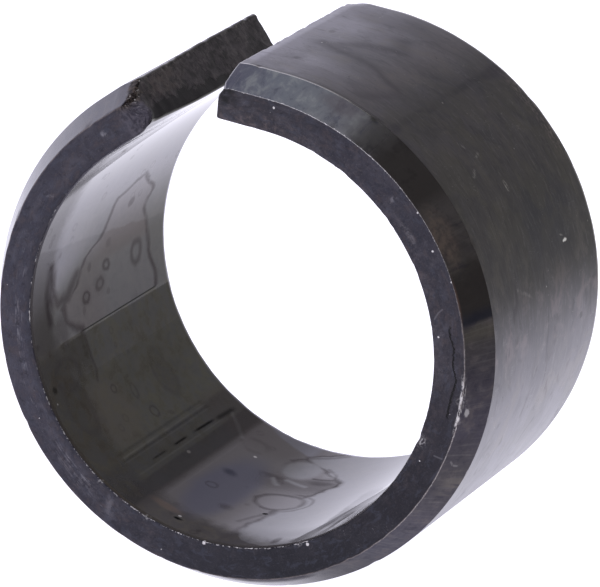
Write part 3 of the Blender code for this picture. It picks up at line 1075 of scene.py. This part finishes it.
def thick_film(f, oil):
    """A thick film lies along the left of the bottom, in lobes toward the middle."""
    edge = f.profile(oil.across, 0, LENGTH, -10, 0, FILM_EDGE)
    outward = oil.along - edge + 0.5 * oil.ragged
    bottom = oil.run.rise(-17.5, -17.1)
    drop = oil.oval((-6.2, 14.3), (2.8, 2.3))
    tongue = oil.oval((-8.3, 24.3), (2.1, 2.9))
    in_drop, in_tongue = drop.rise(1.08, 0.92), tongue.rise(1.22, 0.78)
    inside = f.larger(outward.rise(0.35, -0.3), in_drop) * (1 - in_tongue) * bottom
    fringe = (oil.depth + 0.45 * (oil.along + 10.3)).rise(28.4, 29.0)
    fringe = fringe * oil.run.rise(-16.5, -14.0) * oil.run.rise(-8.5, -9.6)
    inside = inside * (1 - 0.8 * fringe)
    thick = inside * oil.run.rise(-13, -9) * f.larger(0.35, oil.depth.band(20.0, 5.5))
    thick = thick * (1 - 0.7 * in_drop)
    rim = f.larger(
        outward.band(0.0, 0.75) * (1 - in_drop),
        0.5 * tongue.band(1.0, 0.26) * outward.rise(0.6, 0) * oil.along.rise(-7.4, -9.2))
    rim = rim * (1 - 0.8 * tongue.rise(1.0, 0.8)) * bottom * oil.depth.rise(3.5, 6.5)
    drop_rim = f.larger(
        drop.band(1.0, 0.22) * (0.6 + 0.4 * oil.faint),
        0.9 * oil.ring((-5.8, 14.4), (3.2, 2.8), 0.13) * oil.run.rise(-6.5, -4.5))
    spots = f.larger(
        0.55 * oil.stain((-4.7, 21.6), (1.5, 0.8), 0.6), 0.4 * oil.stain((-10.2, 20.7), (1.6, 0.5), 0.6),
        0.8 * oil.trail(((-6.0, 22.6), (-3.6, 22.9), (-4.4, 24.7), (-6.0, 26.0)), 0.5),
        0.7 * oil.halfway.trail(((-10.3, 26.0), (-8.9, 28.2), (-7.0, 29.6), (-5.6, 30.9)), 0.5),
        0.5 * oil.halfway.trail(((-7.6, 7.0), (-6.9, 9.0), (-6.0, 10.4)), 0.45),
        0.3 * oil.ring((-14.9, 25.5), (1.5, 1.6), 0.4) * oil.faint,
        0.5 * oil.ring((-13.9, 13.0), (0.55, 0.6), 0.5),
        0.6 * oil.stain((-10.5, 9.6), (0.7, 0.6), 0.75), 0.3 * oil.stain((-9.0, 11.7), (0.35, 0.35)),
        0.6 * oil.stain((-0.8, 2.0), (0.5, 1.0), 0.4))
    pale = f.larger(
        oil.halfway.trail(((-8.3, 20.7), (-7.2, 20.3), (-6.0, 19.9)), 0.6),
        0.9 * oil.halfway.trail(((-10.0, 20.3), (-8.8, 18.8)), 0.5),
        0.4 * oil.stain((-5.0, 24.4), (0.7, 0.9), 0.5))
    violet = oil.blot((-12.7, 13.5), (3.0, 9.5), 1.25, 0.65) * inside
    clot = oil.stain((-13.9, 17.3), (0.75, 0.65), 0.75)
    deep = oil.depth.rise(23, 27) * oil.run.rise(-24.5, -22.5) * oil.run.rise(-8, -11) * (1 - fringe)
    return SimpleNamespace(
        inside=inside, fringe=fringe, thick=thick, rim=rim, drop_rim=drop_rim, spots=spots, pale=pale,
        violet=violet, clot=clot, deep=deep)


def dirty_mouth(f, oil):
    """Oil and dirt lie inside the mouth, most where it was wiped down the left side."""
    reach = f.profile(oil.run, *MOUTH_RUNS, 0, 12, MOUTH_REACH)
    dull = f.profile(oil.run, *MOUTH_RUNS, 0, 1, MOUTH_DIRT)
    dull = dull * (oil.across - reach + 1.6 * oil.ragged).rise(1.6, -1.4)
    corner = oil.run.rise(-37.1, -36.9) * oil.across.rise(11.6, 10.4) * oil.along.rise(-30.4, -34.6)
    smear = oil.along.rise(2.7, 3.5) * oil.across.rise(3.0, 4.8) * f.larger(
        (oil.across + 0.6 * oil.run).rise(16.0, 12.0), 0.5 * oil.across.rise(19.0, 15.0))
    veil = oil.across.rise(6.6, 3.4) * oil.along.rise(-8.0, -5.0) * oil.along.rise(3.6, 2.0)
    licks = f.noise((3.4, 0.7, 3), 2, 0.5, 0.8).rise(0.50, 0.62) * oil.depth.rise(4.0, 1.0)
    licks = licks * oil.run.rise(-1.0, 3.0) * oil.run.rise(14, 9)
    return SimpleNamespace(dull=dull, corner=corner, smear=smear, veil=veil, licks=licks)


def old_oil(f, oil):
    """An older, brownish skin between the pool and the film, smudged and spotted."""
    skin = oil.run.rise(-37.1, -36.9) * oil.run.rise(-18, -20)
    smudges = oil.mottle.rise(0.46, 0.64) * oil.slow.rise(0.36, 0.58) * skin
    spots = f.larger(
        0.25 * oil.ring((-29.6, 5.0), (3.1, 2.2), 0.34), 0.3 * oil.ring((-33.6, 5.4), (1.6, 2.6)),
        0.35 * oil.ring((-28.0, 23.0), (2.7, 1.6), 0.40), 0.25 * oil.stain((-28.0, 23.0), (2.6, 1.5)),
        0.6 * oil.trail(((-36.8, 11.0), (-32.4, 11.1), (-31.4, 10.4)), 0.45),
        0.6 * oil.ring((-29.5, 12.6), (0.5, 0.45), 0.5), 0.6 * oil.ring((-24.9, 17.1), (0.7, 0.7), 0.4),
        0.4 * oil.ring((-28.0, 16.1), (0.8, 0.5), 0.5), 0.4 * oil.stain((-23.9, 19.6), (0.3, 0.6), 0.5))
    return SimpleNamespace(skin=skin, smudges=smudges, spots=spots)


def drawn_lines(f, oil):
    """Painted reflections along the bore: thin dark lines, one of them broken into dashes, with glints beside
    them.
    """
    dashes = f.larger(
        0.6 * oil.straight.stroke((-20.5, 9.5), (-20.5, 14.0), 0.24),
        0.85 * oil.straight.stroke((-20.5, 14.8), (-20.5, 18.8), 0.28),
        0.9 * oil.straight.stroke((-20.5, 19.4), (-20.35, 25.8), 0.30),
        0.7 * oil.straight.stroke((-20.3, 24.5), (-20.1, 30.5), 0.55))
    lined = oil.depth.rise(5.0, 6.5) * oil.depth.rise(27.0, 25.0)
    lines = f.larger(
        dashes, 0.25 * oil.run.band(-23.0, 0.35) * lined, 0.25 * oil.run.band(-22.1, 0.20) * lined,
        0.75 * oil.run.band(-37.0, 0.15) * oil.depth.rise(10.0, 11.0) * oil.depth.rise(28.8, 28.0))
    glints = f.larger(*[
        strength * oil.run.band(at_run, width)
        for strength, at_run, width in (
            (0.45, -22.45, 0.18), (0.3, -21.8, 0.14), (0.4, -19.85, 0.18), (0.25, -16.9, 0.3),
            (0.2, -16.2, 0.15))]) * lined * (0.5 + 0.5 * oil.faint)
    glints = f.larger(glints, 0.5 * oil.halfway.trail(((-16.9, 25.6), (-18.2, 27.2), (-20.0, 28.6)), 0.5))
    return lines, glints


def bore_finish():
    """A mirror-like skin of oil that has crept, dried and left brown outlines and rings."""
    f = new_finish("oiled_bore")
    oil = Oil(f)
    run, depth, mottle = oil.run, oil.depth, oil.mottle
    pool = dried_pool(f, oil)
    film = thick_film(f, oil)
    mouth = dirty_mouth(f, oil)
    old = old_oil(f, oil)
    small = f.spots(2.6)
    spotted = f.noise(8, 1).rise(0.48, 0.56)
    rings = 0.35 * (small + 0.10 * oil.flecks).band(0.22, 0.07) * spotted * run.rise(-4, -8)
    dried = f.larger(
        pool.spots, film.spots, old.spots, pool.drips, rings, pool.rim, 0.85 * film.drop_rim,
        0.9 * film.rim * (0.4 + 0.6 * oil.faint))
    lines, glints = drawn_lines(f, oil)

    f.colour = f.mix(oil.slow.rise(0.38, 0.62) * 0.5, (0.084, 0.082, 0.090), (0.074, 0.071, 0.070))
    f.coat(pool.inside * 0.6, (0.090, 0.077, 0.084))
    f.coat(pool.stripe * 0.6, (0.096, 0.078, 0.078))
    f.coat(pool.clean * 0.6, (0.082, 0.083, 0.094))
    f.coat(mottle.rise(0.42, 0.60) * old.skin * 0.55, (0.100, 0.093, 0.070))
    f.coat(oil.cloudy.rise(0.50, 0.64) * 0.30, (0.108, 0.098, 0.100))
    f.coat(oil.cloudy.rise(0.48, 0.36) * 0.35, (0.058, 0.056, 0.064))
    rosy = oil.blot((-27.3, 10.0), (4.6, 5.0), 1.2, 0.6) * old.skin
    f.coat(rosy * 0.5, (0.105, 0.090, 0.086))
    f.coat(film.inside * 0.8, (0.100, 0.089, 0.092))
    f.coat(f.larger(film.thick, film.deep) * 0.7, (0.086, 0.075, 0.075))
    f.coat(film.violet * 0.75, (0.068, 0.068, 0.108))
    f.coat(film.fringe * 0.7, (0.120, 0.116, 0.142))
    f.coat(f.larger(mouth.dull, 0.7 * mouth.corner) * 0.8, (0.050, 0.045, 0.040))
    f.coat(mouth.dull * mottle.rise(0.46, 0.62) * run.rise(-38, -34) * 0.6, (0.100, 0.088, 0.068))
    orange = oil.halfway.blot((-15.0, 4.0), (1.9, 0.7), 1.4, 0.5)
    f.coat(orange * 0.4, (0.180, 0.125, 0.098))
    f.coat(f.larger(mouth.smear, 0.7 * mouth.licks, 0.8 * mouth.veil) * 0.5, (0.060, 0.055, 0.062))
    f.coat(f.larger(dried, 0.35 * old.smudges) * 0.70, (0.030, 0.021, 0.024))
    f.coat(film.clot * 0.7, (0.022, 0.024, 0.046))
    f.coat(f.larger(glints, film.pale), (0.165, 0.160, 0.165))
    dirt = f.larger(
        (oil.straight.oval((-12.9, 2.7), (0.60, 0.34)) + 1.2 * oil.flecks).rise(1.7, 1.1),
        0.7 * (oil.straight.oval((-32.8, 1.8), (0.5, 0.6)) + 1.4 * oil.flecks).rise(1.9, 1.1),
        oil.straight.blot((-6.1, 10.4), (0.38, 0.28), 1.1, 0.7))
    # Dirt, and the painted dark reflections along the bore.
    dark = f.larger(dirt, lines)
    f.coat(dark, grey(0.004))
    # Painted highlight: a pale line along the bore's back rim.
    rim = depth.rise(LENGTH - 0.9, LENGTH - 0.3)
    f.coat(rim * 0.90, (0.50, 0.49, 0.56))
    nicked = f.mark("bare") * f.noise(0.28, 2).rise(0.44, 0.56)
    specks = f.larger(
        reach(run + 13.0, depth - 3.4).rise(0.24, 0.14),
        reach(run + 13.7, depth - 23.3).rise(0.3, 0.1),
        0.6 * reach(run + 18.9, (depth - 16.2) / 1.4).rise(0.3, 0.15),
        0.8 * f.spots(5.2).rise(0.026, 0.016))
    worn = f.larger(0.6 * nicked, 0.6 * specks)
    f.coat(worn, BARE_STEEL)

    # Stained oil mirrors less than the steel under it. The relief stays plain, because all that
    # feeds it is worked out three times.
    stain_and_shade = 0.15 * film.inside + 0.44 * film.thick + 0.04 * pool.inside + 0.13 * pool.crest
    stain_and_shade = stain_and_shade + 0.10 * pool.stripe - 0.06 * pool.clean
    stain_and_shade = stain_and_shade + 0.33 * dried + 0.12 * film.deep
    stain_and_shade = stain_and_shade + 0.10 * film.fringe + 0.25 * film.clot + 0.10 * film.violet
    stain_and_shade = stain_and_shade + 0.70 * f.larger(mouth.dull, 0.55 * mouth.corner, 0.2 * mouth.licks)
    stain_and_shade = stain_and_shade + 0.34 * mouth.smear + 0.22 * mouth.veil
    stain_and_shade = stain_and_shade + 0.28 * old.smudges - 0.10 * f.larger(glints, film.pale)
    # The painted dark reflections along the bore also take mirror away.
    stain_and_shade = f.larger(stain_and_shade, 0.9 * dark, 0).smaller(0.92)
    roughness = 0.035 + 0.05 * film.inside + 0.12 * mouth.dull + 0.10 * dried
    roughness = roughness + 0.02 * pool.inside + 0.06 * mouth.licks
    height = 0.3 * oil.slow + 0.05 * oil.ragged
    return f.surface({
        "Metallic": f.larger(1.0 - stain_and_shade, worn), "Roughness": roughness, "Specular IOR Level": 0.0,
        "Normal": f.bump(height, 0.02)})


def back_finish():
    """Sheared strip edge, blackened and left as it was."""
    f = new_finish("blackened_back")
    _, _, level = f.strip()
    clouds = f.noise((4, 4, 1.6), 4, 0.65)
    speckle = f.noise(0.22, 3, 0.7)
    drawn = f.noise((5.0, 5, 0.10), 3, 0.6)
    f.colour = f.mix(clouds, (0.012, 0.0115, 0.016), (0.034, 0.031, 0.037))
    f.coat(speckle.rise(0.52, 0.72) * 0.5, (0.080, 0.073, 0.078))
    f.coat(drawn.rise(0.58, 0.74) * 0.5, (0.15, 0.145, 0.16))
    rim = level.smaller(WALL - level)
    broken = f.noise((1.4, 0.4, 0.4), 4, 0.75)
    worn = rim.rise(0.34, 0.10) * broken.rise(0.52, 0.62)
    worn = f.larger(worn, f.spots(2.6).rise(0.050, 0.030))
    f.coat(worn, BARE_STEEL)
    height = 0.9 * speckle + 0.8 * clouds
    return f.surface({
        "Metallic": worn, "Roughness": 0.46, "Specular IOR Level": 0.36, "Normal": f.bump(height, 0.022)})


def cut_finish():
    """Sheared: a smooth dark band next to the bore, and torn, brown-grey and lighter above it."""
    f = new_finish("sheared_cut")
    run, depth, level = f.strip()
    slanted = f.node("ShaderNodeCombineXYZ", {}, {0: run, 1: depth + 0.25 * level, 2: level})
    tears = f.noise((40, 1.7, 2.6), 4, 0.66, 1.2, slanted)
    scores = f.noise((40, 0.30, 5.0), 3, 0.6, at=slanted)
    clouds = f.noise((40, 3.0, 1.8), 4, 0.65, 1.2)
    mottle = f.noise((40, 0.8, 0.9), 4, 0.7, 0.6)
    speckle = f.noise((0.25, 0.18, 0.25), 3, 0.7)
    f.colour = f.mix(clouds.rise(0.38, 0.60), (0.018, 0.015, 0.018), (0.048, 0.041, 0.046))
    f.coat(tears.rise(0.50, 0.66) * 0.40, (0.088, 0.076, 0.078))
    f.coat(tears.rise(0.46, 0.32) * 0.55, (0.010, 0.009, 0.010))
    f.coat(mottle.rise(0.50, 0.64) * 0.55, (0.100, 0.086, 0.088))
    f.coat(mottle.rise(0.47, 0.34) * 0.65, (0.008, 0.007, 0.008))
    f.coat(scores.rise(0.56, 0.70) * 0.12, (0.110, 0.100, 0.096))
    brown = Drawing(depth, level).blot((7.5, 3.6), (4.5, 1.6), 1.3, 0.5) * mottle.rise(0.36, 0.56)
    f.coat(brown * 0.42, (0.112, 0.088, 0.078))
    smooth = (level + 2.2 * (clouds - 0.5) + 0.05 * depth).rise(2.2, 1.8)
    f.coat(smooth * 0.85, (0.011, 0.010, 0.012))
    outer = (level + 0.9 * (mottle - 0.5)).rise(WALL - 0.62, WALL - 0.30)
    f.coat(outer * mottle.rise(0.56, 0.44) * 0.8, (0.006, 0.005, 0.006))
    f.coat(outer * mottle.rise(0.50, 0.62) * 0.7, (0.125, 0.115, 0.112))
    beaten, glint, bruise = battered(f, level)
    f.coat(beaten, bruise)
    f.coat(glint, BARE_STEEL)
    height = (1.0 * tears + 0.5 * speckle + 0.9 * mottle + 0.3 * scores) * (1 - 0.6 * smooth)
    return f.surface({
        "Metallic": glint, "Roughness": 0.52, "Specular IOR Level": 0.30, "Normal": f.bump(height, 0.05)})


# ---------------------------------------------------------------- the studio

TABLE_REACH = 3.0
TABLE_WHITE = 0.28
TABLE_GLOW = 1.12
CARD_HEIGHT = 0.0005


def flat_sheet(name, low, high, height=0.0):
    """A level rectangle between two opposite corners."""
    corners = [low, (high[0], low[1]), high, (low[0], high[1])]
    mesh = bpy.data.meshes.new(name)
    mesh.from_pydata([(x, y, height) for x, y in corners], [], [(0, 1, 2, 3)])
    sheet = bpy.data.objects.new(name, mesh)
    bpy.context.scene.collection.objects.link(sheet)
    return sheet


def light_table():
    """A wide white table, lit from under, so that it stays pale all round the sleeve."""
    table = flat_sheet("light_table", (-TABLE_REACH, -TABLE_REACH), (TABLE_REACH, TABLE_REACH))
    f = new_finish("white_table")
    cloud = f.noise(0.4, 2, at=f.node("ShaderNodeTexCoord", output="Object"))
    f.colour = f.mix(cloud, grey(TABLE_WHITE), grey(TABLE_WHITE * 1.03))
    table.data.materials.append(f.surface(
        {"Roughness": 0.9, "Emission Color": (1.0, 0.985, 1.12), "Emission Strength": TABLE_GLOW}))


def shade_card(name, low, high, near, far=None, fade=(0.0, 1.0), soft=0.004):
    """A card on the table, out of the camera's sight, that the steel mirrors. Its glow changes
    evenly between two places to the right, and its left and front edges are soft."""
    card = flat_sheet(name, low, high, CARD_HEIGHT)
    f = new_finish(name)
    x, y, _ = f.parts(f.node("ShaderNodeTexCoord", output="Object"))
    glow = f.mix(x.share(*fade), near, far or near)
    solid = x.rise(low[0], low[0] + soft) * y.rise(low[1], low[1] + soft)
    f.colour = grey(0.04)
    card.data.materials.append(f.surface(
        {"Roughness": 0.9, "Emission Color": glow, "Emission Strength": 1.0, "Alpha": solid}))
    card.visible_camera = False
    card.visible_shadow = False


def shade_cards():
    shade_card("shade_card_behind", (0.045, 0.075), (3.0, 3.0), (0.36, 0.355, 0.332), soft=0.0002)
    shade_card("shade_card_right", (0.116, -3.0), (3.0, 0.0745), (0.20, 0.197, 0.20))
    shade_card(
        "shade_card_beside", (0.030, -0.30), (0.116, 0.0745), (1.44, 1.42, 1.58), (0.48, 0.47, 0.47),
        (0.030, 0.068), 0.0002)
    shade_card("pale_card_near", (0.008, -0.30), (0.0302, 0.057), (1.52, 1.50, 1.67), soft=0.012)
    shade_card(
        "shade_card_far", (-0.022, 0.056), (0.0448, 3.0), (1.22, 1.20, 1.34), (0.72, 0.71, 0.71),
        (-0.014, 0.002), 0.010)


def studio_room():
    """Soft light from the left and above, dark on the right, and plain white behind the table."""
    world = bpy.data.worlds.new("studio")
    bpy.context.scene.world = world
    f = Finish(world)
    x, y, z = f.parts(f.node("ShaderNodeTexCoord", output="Generated"))
    to_right = f.node("ShaderNodeMath", {"operation": "ARCTAN2"}, {0: x, 1: y}) * math.degrees(1)
    height = f.node("ShaderNodeMath", {"operation": "ARCSINE"}, {0: z}) * math.degrees(1)
    lamp = (1.20, 1.18, 1.36)
    f.colour = f.mix(to_right.rise(-20, -3), lamp, (0.60, 0.59, 0.635))
    f.coat(to_right.rise(8.8, 9.6), (0.42, 0.415, 0.39))
    f.coat(to_right.rise(8.8, 9.6) * to_right.rise(21.6, 20.8), (0.325, 0.32, 0.32))
    f.coat(to_right.rise(8.8, 9.6) * to_right.rise(15.4, 14.8), (0.25, 0.24, 0.25))
    f.coat(to_right.rise(32, 46), (0.24, 0.235, 0.225))
    f.coat(to_right.rise(125, 165), lamp)
    f.coat(height.rise(50, 60), lamp)
    seen = f.node("ShaderNodeLightPath", output="Is Camera Ray")
    f.colour = f.mix(seen, f.colour, grey(1.0))
    background = f.node("ShaderNodeBackground", {}, {"Color": f.colour, "Strength": 1.0})
    f.node("ShaderNodeOutputWorld", {}, {"Surface": background})


def camera():
    """Looks in at the chamfered end from the right and a little above, leaning over."""
    azimuth, elevation, lean = (math.radians(angle) for angle in (25.751, 10.638, 12.073))
    distance = 0.628736
    aim = Vector((0.522, 0.257, 26.007)) * MM
    level_way = Vector((math.sin(azimuth), -math.cos(azimuth), 0.0))
    toward = level_way * math.cos(elevation) + Vector((0.0, 0.0, math.sin(elevation)))
    data = bpy.data.cameras.new("camera")
    data.lens = 384.72
    data.sensor_width = 36.0
    data.clip_start = 0.05
    data.clip_end = 20.0
    seen = bpy.data.objects.new("camera", data)
    bpy.context.scene.collection.objects.link(seen)
    turn = toward.to_track_quat("Z", "Y").to_matrix() @ Matrix.Rotation(-lean, 3, "Z")
    seen.matrix_world = Matrix.Translation(aim + toward * distance) @ turn.to_4x4()
    bpy.context.scene.camera = seen


def main():
    mesh = build_sleeve()
    for finish in (outside_finish, chamfer_finish, front_finish, bore_finish, back_finish, cut_finish):
        mesh.materials.append(finish())
    sleeve = bpy.data.objects.new("sleeve", mesh)
    bpy.context.scene.collection.objects.link(sleeve)
    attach(sleeve, "root")
    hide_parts("split_sleeve")
    light_table()
    shade_cards()
    studio_room()
    camera()
    bpy.context.scene.view_settings.view_transform = "Standard"


main()
